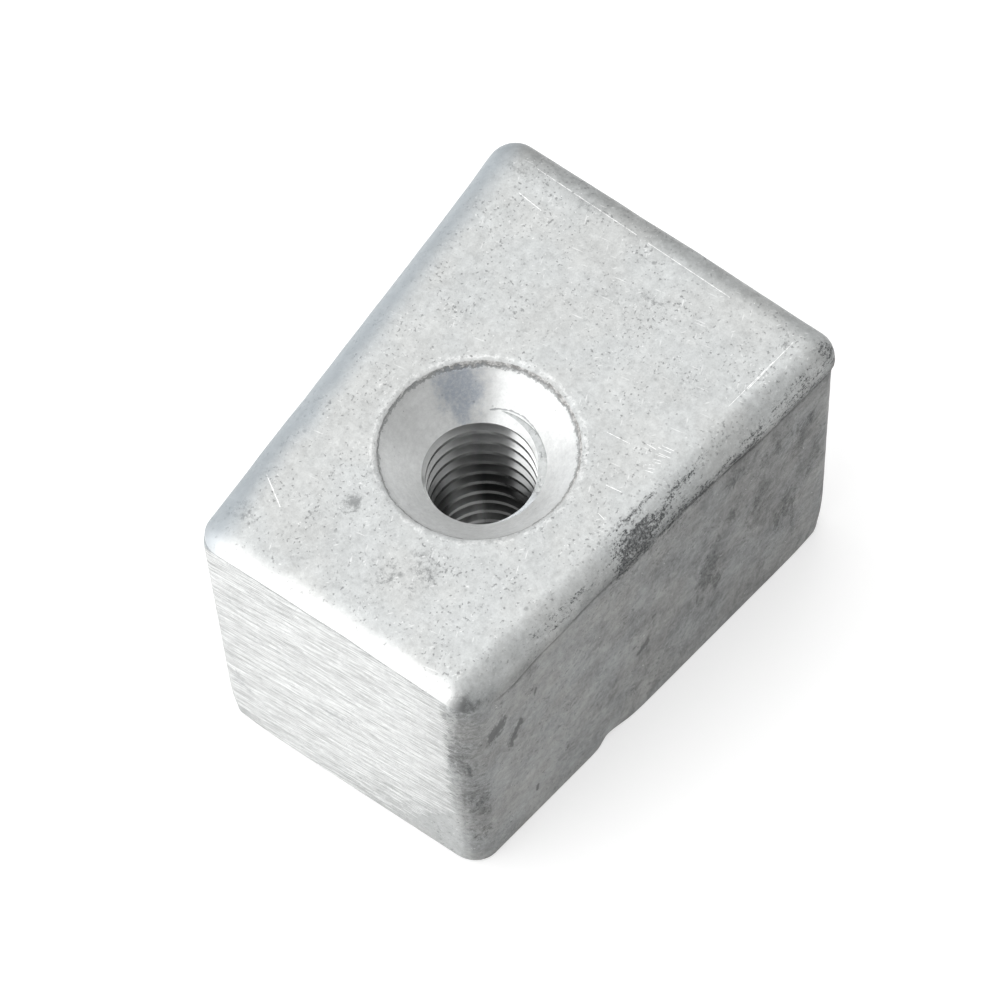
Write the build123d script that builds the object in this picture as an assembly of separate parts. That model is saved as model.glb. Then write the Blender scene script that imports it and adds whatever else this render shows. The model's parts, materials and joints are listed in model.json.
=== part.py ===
from build123d import *
import math
import os

# Block sacrificial anode: one cast block of light alloy with a tapped, countersunk hole.
# Frame: origin on the hole's axis at the flat base, +Z up to the countersunk face,
# +X from the narrow end towards the wide end.

# Driving dimensions, in millimetres and degrees
narrow_reach = 14.0        # hole axis to the narrow end, at the level of the top face
wide_reach = 18.9          # hole axis to the wide end
narrow_width = 19.7        # across the narrow end
wide_width = 25.5          # across the wide end
height = 22.5              # base to top face
corner_radius = 1.7        # upright corners
base_edge_radius = 0.3     # edge round the base
end_skew = 2.0             # the hand-ground narrow end is turned this much out of square
end_lean = 1.5             # and leans out this much towards the base
cap_depth = 1.6            # top face down to the mould's parting line
cap_step = 0.1             # how far the upper mould half stands proud of the lower one
top_edge_radius = 1.4      # edge round the top face
thread_size = 8.0          # nominal diameter of the metric coarse thread
thread_pitch = 1.25        # one turn of that thread
sink_diameter = 12.5       # rim of the countersink
sink_angle = 90.0          # full angle of the countersink

# Worked-out sizes
side_slope = (wide_width - narrow_width) / 2 / (narrow_reach + wide_reach)
side_angle = math.atan(side_slope)
axis_half_width = narrow_width / 2 + side_slope * narrow_reach
thread_crest_radius = (thread_size - thread_pitch) / 2
sink_depth = (sink_diameter / 2 - thread_crest_radius) / math.tan(math.radians(sink_angle / 2))
grinding_stock = height * math.tan(math.radians(end_lean)) + narrow_width * math.tan(math.radians(end_skew))


def tapered_prism(proud, low, high):
    """The block's plan between two levels, its walls moved outwards by proud, as it leaves the mould."""
    near_x = -narrow_reach - proud - grinding_stock
    far_x = wide_reach + proud
    near_half = axis_half_width + side_slope * near_x + proud / math.cos(side_angle)
    far_half = axis_half_width + side_slope * far_x + proud / math.cos(side_angle)
    plan = Polyline(
        (near_x, -near_half),
        (far_x, -far_half),
        (far_x, far_half),
        (near_x, near_half),
        close=True,
    )
    return extrude(Plane.XY.offset(low) * make_face(plan), high - low)


def ground_flat(prism, proud):
    """Takes the grinding stock off the narrow end, along a plane that is a little out of square."""
    skew = math.radians(end_skew)
    lean = math.radians(end_lean)
    outwards = (-math.cos(skew) * math.cos(lean), -math.sin(skew) * math.cos(lean), math.sin(lean))
    end_plane = Plane(origin=(-narrow_reach - proud, 0, height), z_dir=outwards)
    return split(prism, bisect_by=end_plane, keep=Keep.BOTTOM)


def round_upright_corners(prism, radius):
    """Rounds the four corners that run from base to top."""
    uprights = prism.edges().filter_by(lambda edge: abs(edge.tangent_at(0).Z) > 0.9)
    return fillet(uprights, radius)


def casting_half(proud, low, high):
    """One mould half's share of the block, with its ground end and its rounded corners."""
    prism = tapered_prism(proud, low, high)
    return round_upright_corners(ground_flat(prism, proud), corner_radius + proud)


def lower_half():
    """The deep half of the casting, with its narrow edge round the base."""
    half = casting_half(0.0, 0.0, height - cap_depth)
    base_edges = half.faces().sort_by(Axis.Z)[0].edges()
    return fillet(base_edges, base_edge_radius)


def upper_half():
    """The shallow half of the casting, a hair proud of the lower one, with its rounded top edge."""
    half = casting_half(cap_step, height - cap_depth, height)
    top_edges = half.faces().sort_by(Axis.Z)[-1].edges()
    return fillet(top_edges, top_edge_radius)


def hole():
    """The tapped bore, plain at the thread's crests, and the countersink at its mouth."""
    bore = Cylinder(thread_crest_radius, height, align=(Align.CENTER, Align.CENTER, Align.MIN))
    sink = Cone(
        thread_crest_radius,
        sink_diameter / 2,
        sink_depth,
        align=(Align.CENTER, Align.CENTER, Align.MIN),
    )
    return bore + Pos(0, 0, height - sink_depth) * sink


def anode_block():
    """The whole anode, one casting."""
    block = lower_half() + upper_half() - hole()
    return block.solid()


os.makedirs("parts", exist_ok=True)
export_step(anode_block(), "parts/anode_block.step")
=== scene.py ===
"""Looks and stage for a small block sacrificial anode.

One casting of light alloy: a block that tapers in plan, with a wavering parting line under its
rounded top edge, one end ground by hand, and a countersunk, tapped hole. Lengths are in metres
in Blender; the constants that are written in millimetres are multiplied by MM.
"""

import functools
import json
import math

import bmesh
import bpy
from mathutils import Matrix, Vector, noise


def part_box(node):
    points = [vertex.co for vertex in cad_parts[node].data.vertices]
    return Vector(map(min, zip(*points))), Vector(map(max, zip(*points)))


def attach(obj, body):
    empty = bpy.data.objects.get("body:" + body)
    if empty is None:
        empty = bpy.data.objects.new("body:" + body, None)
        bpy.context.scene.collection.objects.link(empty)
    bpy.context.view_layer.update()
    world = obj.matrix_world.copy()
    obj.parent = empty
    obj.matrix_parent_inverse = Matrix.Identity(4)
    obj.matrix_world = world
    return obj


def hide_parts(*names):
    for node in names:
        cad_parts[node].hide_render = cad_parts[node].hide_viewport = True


bl_info = {
    "name": "Block Anode",
    "version": (1, 0, 0),
    "blender": (4, 5, 0),
    "location": "View3D > Sidebar > Anode",
    "description": "Casts, grinds and taps a block sacrificial anode, and sets its stage",
    "category": "Object",
}

MM = 0.001
NODE = "anode_block"
BODY = "root"
PIECE = "anode_casting"

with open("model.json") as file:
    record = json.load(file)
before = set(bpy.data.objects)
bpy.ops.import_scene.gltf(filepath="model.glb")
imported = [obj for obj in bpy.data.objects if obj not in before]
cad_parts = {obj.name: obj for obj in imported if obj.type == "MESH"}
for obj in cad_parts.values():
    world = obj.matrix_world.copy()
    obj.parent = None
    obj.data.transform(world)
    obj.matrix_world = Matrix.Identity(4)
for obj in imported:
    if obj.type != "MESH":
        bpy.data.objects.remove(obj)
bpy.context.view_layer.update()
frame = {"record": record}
LOW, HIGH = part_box(NODE)
THREAD_MOUNT = next(m for m in frame["record"]["mounts"] if m["name"] == "thread")


def length(name, description, default):
    """A length property of the sidebar, in metres."""
    return bpy.props.FloatProperty(
        name=name, description=description, default=default, min=0.0, precision=5, unit="LENGTH"
    )


def angle(name, description, degrees):
    """An angle property of the sidebar, kept in radians."""
    return bpy.props.FloatProperty(
        name=name, description=description, default=math.radians(degrees), unit="ROTATION"
    )


def colour(name, description, default):
    """A colour property of the sidebar."""
    return bpy.props.FloatVectorProperty(
        name=name, description=description, default=default, size=3, min=0.0, max=1.0, subtype="COLOR"
    )


def number(name, description, default):
    """A plain number of the sidebar."""
    return bpy.props.FloatProperty(name=name, description=description, default=default)


class AnodeBlockSizes(bpy.types.PropertyGroup):
    """Sizes of the cast block, apart from its hole."""

    height: length("Height", "Base to top face", HIGH[2])
    narrow_reach: length("Narrow reach", "Hole axis to the ground end, at the top", 14.0 * MM)
    wide_reach: length("Wide reach", "Hole axis to the wide end", 18.9 * MM)
    narrow_width: length("Narrow width", "Across the ground end", 19.7 * MM)
    wide_width: length("Wide width", "Across the wide end", 25.5 * MM)
    corner_radius: length("Corner radius", "Upright corners", 1.7 * MM)
    base_edge: length("Base edge", "Radius of the edge round the base", 0.3 * MM)
    top_edge: length("Top edge", "Radius of the edge round the top face", 2.05 * MM)
    cap_step: length("Cap step", "How far the upper mould half stands proud", 0.1 * MM)
    waver: length("Waver", "Depth of the hollows that casting leaves in the skin", 0.05 * MM)
    end_skew: angle("End skew", "How far the ground end is turned out of square", 2.0)
    end_lean: angle("End lean", "How far the ground end leans out towards the base", 1.5)
    cast_reach: length("Cast reach", "Hole axis to the narrow end before it was ground", 14.10 * MM)
    cast_skew: angle("Cast skew", "How far the narrow end was cast out of square", 2.76)
    front_corner: length("Front corner", "Upright corner from the ground end to the front side", 1.9 * MM)
    cast_corner: length("Cast corner", "Lower upright corner from the front side to the wide end", 1.5 * MM)
    cap_corner: length("Cap corner", "The same corner in the upper mould half", 1.3 * MM)
    wide_edge: length("Wide edge", "Height of the rounding above the wide end", 0.62 * MM)


class AnodeHoleSizes(bpy.types.PropertyGroup):
    """Sizes of the countersunk, tapped hole."""

    sink_radius: length("Countersink radius", "Rim of the countersink", 6.25 * MM)
    crest_radius: length(
        "Crest radius", "Bore at the thread's crests", THREAD_MOUNT["dims"]["r_mm"] * MM
    )
    root_radius: length("Root radius", "Thread's outermost radius", 4.0 * MM)
    pitch: length("Pitch", "One turn of the thread", 1.25 * MM)
    start_angle: angle("Start angle", "Where the first turn enters the countersink", 20.0)
    rim_width: length("Rim width", "Torn band round the countersink", 0.42 * MM)


class AnodeFinishColours(bpy.types.PropertyGroup):
    """Colours of the bare metal."""

    skin: colour("Cast skin", "Dull oxide skin of the casting", (0.536, 0.549, 0.545))
    stain: colour("Stain", "Grey-black marks and pits", (0.12, 0.125, 0.13))
    ground: colour("Ground metal", "Fresh metal of the ground end", (0.72, 0.73, 0.725))
    machined: colour("Machined metal", "Fresh metal of the countersink and thread", (0.78, 0.79, 0.785))
    floor: colour("Floor", "Plain pale floor", (0.55, 0.55, 0.548))


class AnodeStageSettings(bpy.types.PropertyGroup):
    """The photographed viewpoint and the studio's lights."""

    azimuth: angle("Azimuth", "Camera's bearing round the block", -47.73)
    elevation: angle("Elevation", "Camera's height above the horizon", 61.40)
    roll: angle("Roll", "Camera's turn about its own axis", -4.76)
    distance: length("Distance", "Camera to the middle of the block", 232.2 * MM)
    shift_right: number("Shift right", "Camera's sideways offset, in metres", 0.78 * MM)
    shift_up: number("Shift up", "Camera's upward offset, in metres", 2.335 * MM)
    lens: number("Lens", "Focal length for a 36 mm sensor", 136.94)
    key_power: number("Key power", "Wide soft box behind the ground end, in watts", 3.5)
    top_power: number("Top power", "Soft box overhead, in watts", 1.72)
    fill_power: number("Fill power", "Small soft box low at the right, in watts", 0.22)
    side_power: number("Side power", "Soft box high at the right, in watts", 0.27)
    room_light: number("Room light", "Brightness of the room", 0.04)


def points_on_circle(count):
    """Even directions round the hole's axis."""
    return [2 * math.pi * step / count for step in range(count)]


def taper_of(size):
    """Angle of each long side to the length."""
    return math.atan((size.wide_width - size.narrow_width) / 2 / (size.narrow_reach + size.wide_reach))


def half_width_of(size):
    """Half the width at the hole's axis."""
    return size.narrow_width / 2 + math.tan(taper_of(size)) * size.narrow_reach


def ground_distance_at(size, level, proud):
    """The ground end at one level, as outward direction and distance."""
    distance = (size.narrow_reach + proud) * math.cos(size.end_skew)
    distance += (size.height - level) * math.tan(size.end_lean)
    bearing = math.pi + size.end_skew
    return Vector((math.cos(bearing), math.sin(bearing))), distance


def side_walls(size, proud):
    """The two long sides and the wide end, as outward direction and distance."""
    taper = taper_of(size)
    side = half_width_of(size) * math.cos(taper) + proud
    walls = ((math.pi / 2 + taper, side), (-math.pi / 2 - taper, side), (0.0, size.wide_reach + proud))
    return [(Vector((math.cos(b), math.sin(b))), d) for b, d in walls]


def reach(ray, walls, corners):
    """An outline's distance from the hole's axis; the walls run round, each with its next corner's radius."""
    radius = min(distance / ray.dot(out) for out, distance in walls if ray.dot(out) > 1e-6)
    hit = ray * radius
    for (out, distance), (next_out, next_distance), corner in zip(walls, walls[1:] + walls[:1], corners):
        facing = Matrix((out, next_out))
        centre = facing.inverted() @ Vector((distance - corner, next_distance - corner))
        beyond = hit - centre
        if beyond.dot(Vector((-out.y, out.x))) > 0 and beyond.dot(Vector((next_out.y, -next_out.x))) > 0:
            along = ray.dot(centre)
            return along + math.sqrt(max(along**2 - centre.length_squared + corner**2, 0.0))
    return radius


def eased(share):
    """A share from 0 to 1 that starts and ends softly."""
    return share * share * (3 - 2 * share)


def round_noise(bearing, scale, seed):
    """Noise that runs once round the block and meets itself."""
    return noise.noise(Vector((scale * math.cos(bearing), scale * math.sin(bearing), seed)))


# Depth of the parting line under the top face, as bearing in degrees and depth in millimetres.
PARTING_LINE = (
    (-148, 1.35), (-141, 2.2), (-135, 2.55), (-126, 2.1), (-105, 1.75), (-66, 1.65), (-54, 2.0),
    (-44, 2.4), (-33, 2.3), (0, 1.7), (33, 1.6), (100, 1.4), (148, 1.05), (180, 1.0), (200, 1.2),
    (212, 1.35),
)
PARTING_RIPPLE = 0.07


def parting_depth(bearing):
    """Depth of the parting line under the top face: it wavers, and is deepest at the front corner."""
    degrees = math.degrees(bearing)
    if degrees > PARTING_LINE[-1][0]:
        degrees -= 360
    for (before, depth), (after, next_depth) in zip(PARTING_LINE, PARTING_LINE[1:]):
        if degrees <= after:
            share = eased((degrees - before) / (after - before))
            break
    ripple = PARTING_RIPPLE * round_noise(bearing, 6, 0.0)
    return (depth + (next_depth - depth) * share + ripple) * MM


def crease_depth(bearing):
    """How deeply the parting line is sunk, as a share: deepest along the front's long side."""
    ragged = round_noise(bearing, 14, 8.0) + 0.6 * round_noise(bearing, 45, 2.0)
    return (0.8 + 0.6 * ragged) * (0.7 + 0.6 * max(-math.sin(bearing), 0.0)) * lip_share(bearing)


FLUSH_BEARING, FLUSH_SPREAD = 216, 11


def lip_share(bearing):
    """How much lip the parting line leaves: none on the front corner, where the halves met flush."""
    off_corner = (math.degrees(bearing) - FLUSH_BEARING) / FLUSH_SPREAD
    return 1 - math.exp(-(off_corner**2))


# Cosines of the bearings between which the top edge turns flatter towards the wide end.
WIDE_END_COSINES = (0.74, 0.86)


def above_parting(point, size):
    """Height of a point above the parting line."""
    bearing = math.atan2(point.y, point.x) % (2 * math.pi)
    return point.z - size.height + parting_depth(bearing)


def faded(value, none, full):
    """A share that runs from 0 to 1 between two values."""
    return min(max((value - none) / (full - none), 0.0), 1.0)


def crown(size, bearing, share):
    """Inset and level of the top edge's rounding, from the parting line at share 0 to the flat at 1."""
    depth = parting_depth(bearing) - 0.10 * MM
    flat = eased(faded(math.cos(bearing), *WIDE_END_COSINES))
    wide = size.top_edge * (1 - 0.1 * flat)
    tall = max(wide, 0.98 * depth)
    tall += flat * (size.wide_edge - tall)
    foot = math.acos(max(1 - depth / tall, 0.0))
    turn = foot * (1 - share)
    below = max(depth - tall, 0.0) * (1 - share) ** 3
    return wide * (math.sin(foot) - math.sin(turn)), size.height - tall * (1 - math.cos(turn)) - below


CAST, MACHINED, THREADED = range(3)
EDGE_STEPS = 5
# The sunk crease as height above the parting line and how far it stands proud, in millimetres.
CREASE_PROFILE = (
    (-0.30, -0.01), (-0.20, -0.04), (-0.10, -0.10), (-0.02, -0.17), (0.02, -0.16), (0.06, -0.02),
)


class Casting:
    """Closed rings of points that run from the bore's foot over the outside and back down the hole."""

    def __init__(self, size, hole, columns):
        self.size = size
        self.hole = hole
        self.bearings = points_on_circle(columns)
        self.rings = []
        self.finishes = []

    def add(self, finish, radius_and_level):
        """One ring, from a function that gives the radius and level in each direction."""
        ring = []
        for bearing in self.bearings:
            radius, level = radius_and_level(bearing)
            ring.append(Vector((radius * math.cos(bearing), radius * math.sin(bearing), level)))
        self.rings.append(ring)
        self.finishes.append(finish)

    def outline(self, bearing, level, proud):
        """Radius of the upper mould half's outline, moved outwards by proud."""
        size = self.size
        ray = Vector((math.cos(bearing), math.sin(bearing)))
        far, near, wide = side_walls(size, proud)
        radii = size.corner_radius, size.corner_radius, size.cap_corner, size.corner_radius
        corners = [max(radius + 0.55 * proud, 0.7 * MM) for radius in radii]
        return reach(ray, [far, ground_distance_at(size, level, proud), near, wide], corners)

    def wall(self, bearing, level, proud):
        """Radius of the lower mould half's outline, whose narrow end was cast round, then ground flat."""
        size = self.size
        ray = Vector((math.cos(bearing), math.sin(bearing)))
        far, near, wide = side_walls(size, proud)
        cast_bearing = math.pi + size.cast_skew
        cast_distance = size.cast_reach + proud + (size.height - level) * math.tan(size.end_lean)
        cast_end = Vector((math.cos(cast_bearing), math.sin(cast_bearing))), cast_distance
        radii = size.corner_radius, size.front_corner, size.cast_corner, size.corner_radius
        cast = reach(ray, [far, cast_end, near, wide], [radius + proud for radius in radii])
        out, distance = ground_distance_at(size, level, proud)
        across = ray.dot(out)
        return min(cast, distance / across) if across > 0.1 else cast

    def proud(self, bearing):
        """How far the upper mould half stands proud: not at all where the end was ground."""
        share = min(1 + math.cos(bearing), 0.4) / 0.4 * (1 - 0.5 * max(-math.sin(bearing), 0.0))
        return self.size.cap_step * share * lip_share(bearing)

    def base(self, rows):
        """The flat base, from the bore out to the narrow edge round it."""
        for row in range(rows):
            share = row / rows

            def place(bearing):
                edge = self.wall(bearing, 0.0, -self.size.base_edge)
                return self.hole.crest_radius + share * (edge - self.hole.crest_radius), 0.0

            self.add(CAST, place)
        edge = self.size.base_edge
        for step in range(EDGE_STEPS):
            turn = math.pi / 2 * step / EDGE_STEPS
            inset = edge * (1 - math.sin(turn))
            level = edge * (1 - math.cos(turn))
            self.add(CAST, lambda b: (self.wall(b, level, -inset), level))

    def walls(self, rows):
        """The lower mould half's walls, up to the parting line."""
        for row in range(rows):
            share = 1 - (1 - row / (rows - 1)) ** 1.5

            def place(bearing):
                top = self.size.height - parting_depth(bearing) - 0.40 * MM
                level = self.size.base_edge + share * (top - self.size.base_edge)
                return self.wall(bearing, level, 0.0), level

            self.add(CAST, place)

    def parting_line(self):
        """The sunk crease where the mould halves met, under the upper half that stands proud."""
        for rise, proud in CREASE_PROFILE:
            half = self.wall if rise < 0 else self.outline

            def place(bearing):
                level = self.size.height - parting_depth(bearing) + rise * MM
                return half(bearing, level, proud * MM * crease_depth(bearing)), level

            self.add(CAST, place)

    def crown(self, rows):
        """The upper mould half's short wall and the rounded top edge."""
        for row in range(rows):
            share = row / (rows - 1)

            def place(bearing):
                inset, level = crown(self.size, bearing, share)
                return self.outline(bearing, level, self.proud(bearing) - inset), level

            self.add(CAST, place)

    def top(self, rows):
        """The flat top face, from its rounded edge in to the countersink's rim."""
        for row in range(1, rows + 1):
            share = row / rows

            def place(bearing):
                inset, level = crown(self.size, bearing, 1.0)
                edge = self.outline(bearing, level, self.proud(bearing) - inset)
                rim = self.rim_radius(bearing)
                return edge + share * (rim - edge), self.size.height

            self.add(CAST, place)

    def rim_radius(self, bearing):
        """The countersink's rim, torn a little by the cutter."""
        torn = round_noise(bearing, 7, 3.0) + 0.6 * round_noise(bearing, 31, 5.0)
        return self.hole.sink_radius + 0.22 * self.hole.rim_width * torn

    def countersink(self, rows):
        """The cone, whose upper end is a rough band a little steeper than the rest."""
        size, hole = self.size, self.hole
        depth = hole.sink_radius - hole.crest_radius
        first = hole.rim_width / depth

        def torn_band(bearing):
            radius = 0.5 * (self.rim_radius(bearing) + hole.sink_radius - hole.rim_width)
            return radius, size.height - 0.22 * hole.rim_width

        self.add(MACHINED, torn_band)
        for row in range(rows):
            share = first + (1 - first) * row / (rows - 1)
            self.add(MACHINED, lambda b: (hole.sink_radius - share * depth, size.height - share * depth))

    def mesh(self, name):
        """The rings joined into one closed skin, ring to ring and last to first."""
        sheet = bmesh.new()
        rows = [[sheet.verts.new(point) for point in ring] for ring in self.rings]
        columns = len(self.bearings)
        for index, row in enumerate(rows):
            next_row = rows[(index + 1) % len(rows)]
            for column in range(columns):
                after = (column + 1) % columns
                face = sheet.faces.new((row[column], row[after], next_row[after], next_row[column]))
                face.material_index = self.finishes[index]
                face.smooth = True
        bmesh.ops.recalc_face_normals(sheet, faces=sheet.faces)
        mesh = bpy.data.meshes.new(name)
        sheet.to_mesh(mesh)
        sheet.free()
        return mesh


# Stains as centre, half length, half width, turn in degrees and weight; the top's in X and Y,
# the long side's in X and Z and the ground end's in Y and Z, all in millimetres.
TOP_STAINS = (
    (-7.3, 3.65, 0.62, 0.55, 0, 0.85),
    (-11.6, 8.2, 1.0, 0.7, 40, 0.55),
    (-8.2, -2.5, 1.7, 1.0, 20, 0.52),
    (-9.8, -0.85, 1.2, 0.9, 0, 0.48),
    (16.7, 10.0, 1.5, 0.6, -80, 0.5),
    (17.1, 5.3, 1.2, 0.5, -85, 0.42),
    (14.2, -2.15, 1.3, 0.6, -70, 0.42),
    (16.3, -10.2, 0.35, 0.3, 0, 0.7),
    (-13.2, -9.9, 0.8, 0.6, 0, 0.8),
)
# Smears that run along the long side's top edge, in X and Y.
SMEARS = (
    (1.1, -10.75, 1.5, 0.5, -5, 1.15),
    (-0.3, -10.95, 0.9, 0.35, -5, 0.8),
    (2.3, -9.8, 2.0, 0.16, -5, 0.7),
    (2.6, -10.95, 1.6, 0.45, -5, 0.72),
    (4.9, -10.75, 1.8, 0.22, -5, 0.56),
    (3.6, -11.45, 1.5, 0.25, -5, 0.62),
    (7.2, -10.7, 1.2, 0.2, -5, 0.25),
    (6.2, -11.7, 2.2, 0.22, -5, 0.5),
    (10.5, -12.0, 2.4, 0.25, -5, 0.45),
    (15.0, -12.3, 2.6, 0.4, -5, 0.42),
    (18.0, -12.3, 0.9, 0.5, -30, 0.6),
    (-5.5, -10.2, 3.0, 0.3, -5, 0.32),
)
# Blotches of the long side, in X and Z.
BLOTCHES = (
    (7.0, 10.0, 0.9, 2.6, -15, 1.0),
    (7.6, 7.6, 0.7, 1.0, 0, 0.9),
    (9.0, 14.0, 0.5, 1.6, -20, 0.7),
    (9.5, 18.3, 1.8, 1.1, 0, 0.6),
    (13.2, 17.0, 2.2, 1.5, 0, 0.62),
    (15.4, 15.8, 1.0, 2.2, 0, 0.66),
    (14.2, 8.0, 1.6, 2.6, 0, 0.6),
    (11.6, 12.4, 1.2, 2.2, -10, 0.62),
    (16.6, 12.0, 0.9, 3.0, 0, 0.5),
    (5.2, 15.7, 1.4, 0.8, 0, 0.4),
    (-7.5, 14.1, 1.2, 0.9, -50, 0.42),
    (-6.0, 8.3, 0.9, 0.8, 0, 0.5),
    (-9.0, 17.2, 0.8, 0.7, 0, 0.45),
    (0.0, 4.0, 1.6, 1.4, 0, 0.35),
    (-13.2, 8.0, 0.8, 1.8, 0, 0.6),
    (-13.2, 4.0, 0.8, 1.3, 0, 0.5),
    (-13.6, 14.0, 0.35, 2.6, 0, 0.42),
)
SIDE_STAINS = (
    (2.05, 11.0, 0.35, 0.3, 0, 0.7),
    (2.1, 1.95, 0.55, 0.5, 0, 0.6),
    (-7.4, 2.0, 1.6, 0.7, 0, 0.3),
    (-13.7, 21.4, 0.8, 1.1, 0, 0.9),
)
END_STAINS = (
    (8.1, 5.6, 1.0, 1.4, 0, 0.55),
    (0.1, 9.5, 1.5, 1.0, -14, 0.5),
    (3.0, 12.5, 1.4, 0.9, -14, 0.36),
    (-8.7, 15.0, 0.55, 2.4, 0, 0.75),
    (5.6, 13.2, 1.6, 0.7, -14, 0.4),
    (-3.4, 8.0, 1.2, 0.8, -14, 0.4),
)

# Marks that follow a straight line, as start, end and half width in millimetres.
LIGHT_SCRATCHES = (
    ((15.4, 9.04, 22.5), (15.2, 7.2, 22.5), 0.08),
    ((-8.5, 9.4, 22.5), (-10.0, 6.85, 22.5), 0.08),
    ((5.34, -5.33, 22.5), (5.5, -6.76, 22.5), 0.05),
    ((6.1, -7.7, 22.5), (6.12, -8.3, 22.5), 0.05),
    ((2.5, -7.45, 22.5), (2.65, -8.4, 22.5), 0.06),
    ((0.77, -8.1, 22.5), (0.64, -8.7, 22.5), 0.045),
    ((17.45, 9.2, 22.5), (17.25, 1.5, 22.5), 0.06),
    ((17.2, 0.6, 22.5), (17.05, -5.6, 22.5), 0.05),
    ((12.6, -10.2, 22.5), (16.8, -10.45, 22.5), 0.045),
    ((11.0, -10.0, 22.5), (15.0, -10.3, 22.5), 0.04),
)
HATCH_COUNT = 9


def light_scratches():
    """The bright scratches, with a row of short parallel ones in front of the countersink."""
    hatch = []
    for index in range(HATCH_COUNT):
        share = index / (HATCH_COUNT - 1)
        across, along = 6.6 - 1.9 * share + 0.05 * math.sin(9 * index), -8.85 - 0.12 * math.sin(4 * index)
        middle = Vector((across, along, HIGH[2] / MM))
        half = Vector((0.07, -0.26 - 0.14 * math.sin(5 * share + 1), 0.0))
        hatch.append((middle - half, middle + half, 0.045))
    return LIGHT_SCRATCHES + tuple(hatch)


# Dark marks of the long side, laid flat at Y = 0 and at half their height.
DARK_STROKES = (
    ((-12.0, 0.0, 8.00), (-11.1, 0.0, 8.25), 1.15),
    ((-10.45, 0.0, 6.40), (-9.97, 0.0, 6.92), 0.75),
    ((-9.97, 0.0, 6.92), (-9.6, 0.0, 7.20), 0.6),
    ((0.7, 0.0, 4.05), (1.4, 0.0, 4.22), 0.55),
    ((-8.64, 0.0, 1.65), (-8.6, 0.0, 1.80), 0.36),
    ((-8.3, 0.0, 8.15), (-8.2, 0.0, 8.30), 0.30),
)


def end_plane(size):
    """The ground end's outward direction, and its distance from the origin."""
    out = Vector((
        -math.cos(size.end_skew) * math.cos(size.end_lean),
        -math.sin(size.end_skew) * math.cos(size.end_lean),
        math.sin(size.end_lean),
    ))
    return out, out.dot(Vector((-size.narrow_reach, 0.0, size.height)))


def end_distance(point, size):
    """How far a point stands out from the ground end's plane."""
    out, foot = end_plane(size)
    return out.dot(point) - foot


# Worn base corners as X, Y and how far they are worn in, and the dent in the base edge, in millimetres.
WORN_CORNERS = ((18.9, -12.7, 0.32), (-14.3, 9.8, 0.25), (18.9, 12.7, 0.3))
CLEAR_OF_HOLE = 8.0
DENT_X, DENT_SIDE_Y, DENT_DEPTH = -2.1, -9.0, 0.30
# Depth, in millimetres, of the low corner of the narrow end that the grinding never reached.
SHELF_X, SHELF_DEPTH = -12.0, 0.12


def worn(point, size):
    """A point of the skin, moved in by the casting's hollows, its worn corners and the dent in its edge."""
    outwards = Vector((point.x, point.y, 0.0)).normalized()
    x, y, z = point / MM
    hollow = 0.5 + 0.5 * noise.noise(point / (5.5 * MM)) + 0.3 * noise.noise(point / (1.7 * MM))
    hollow *= min(z / 1.5, 1.0) * min(max(-end_distance(point, size) / (2.5 * MM), 0.0), 1.0)
    inwards = size.waver / MM * max(hollow, 0.0)
    if math.hypot(x, y) > CLEAR_OF_HOLE:
        for corner_x, corner_y, amount in WORN_CORNERS:
            gap = math.hypot(x - corner_x, y - corner_y)
            inwards += amount * math.exp(-((gap / 2.4) ** 2) - (z / 1.8) ** 2)
    if y < DENT_SIDE_Y:
        spread = 0.8 if x < DENT_X else 1.5
        inwards += DENT_DEPTH * math.exp(-(((x - DENT_X) / spread) ** 2) - (z / 1.1) ** 2)
    moved = point - outwards * inwards * MM
    if x < SHELF_X:
        shelf = max((2.3 - 0.66 * y - z) / 9.0 + 0.4, 0.0)
        near_end = min(max(1 + end_distance(point, size) / (1.5 * MM), 0.0), 1.0)
        moved.x += SHELF_DEPTH * shelf * near_end * MM
    return moved


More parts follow.
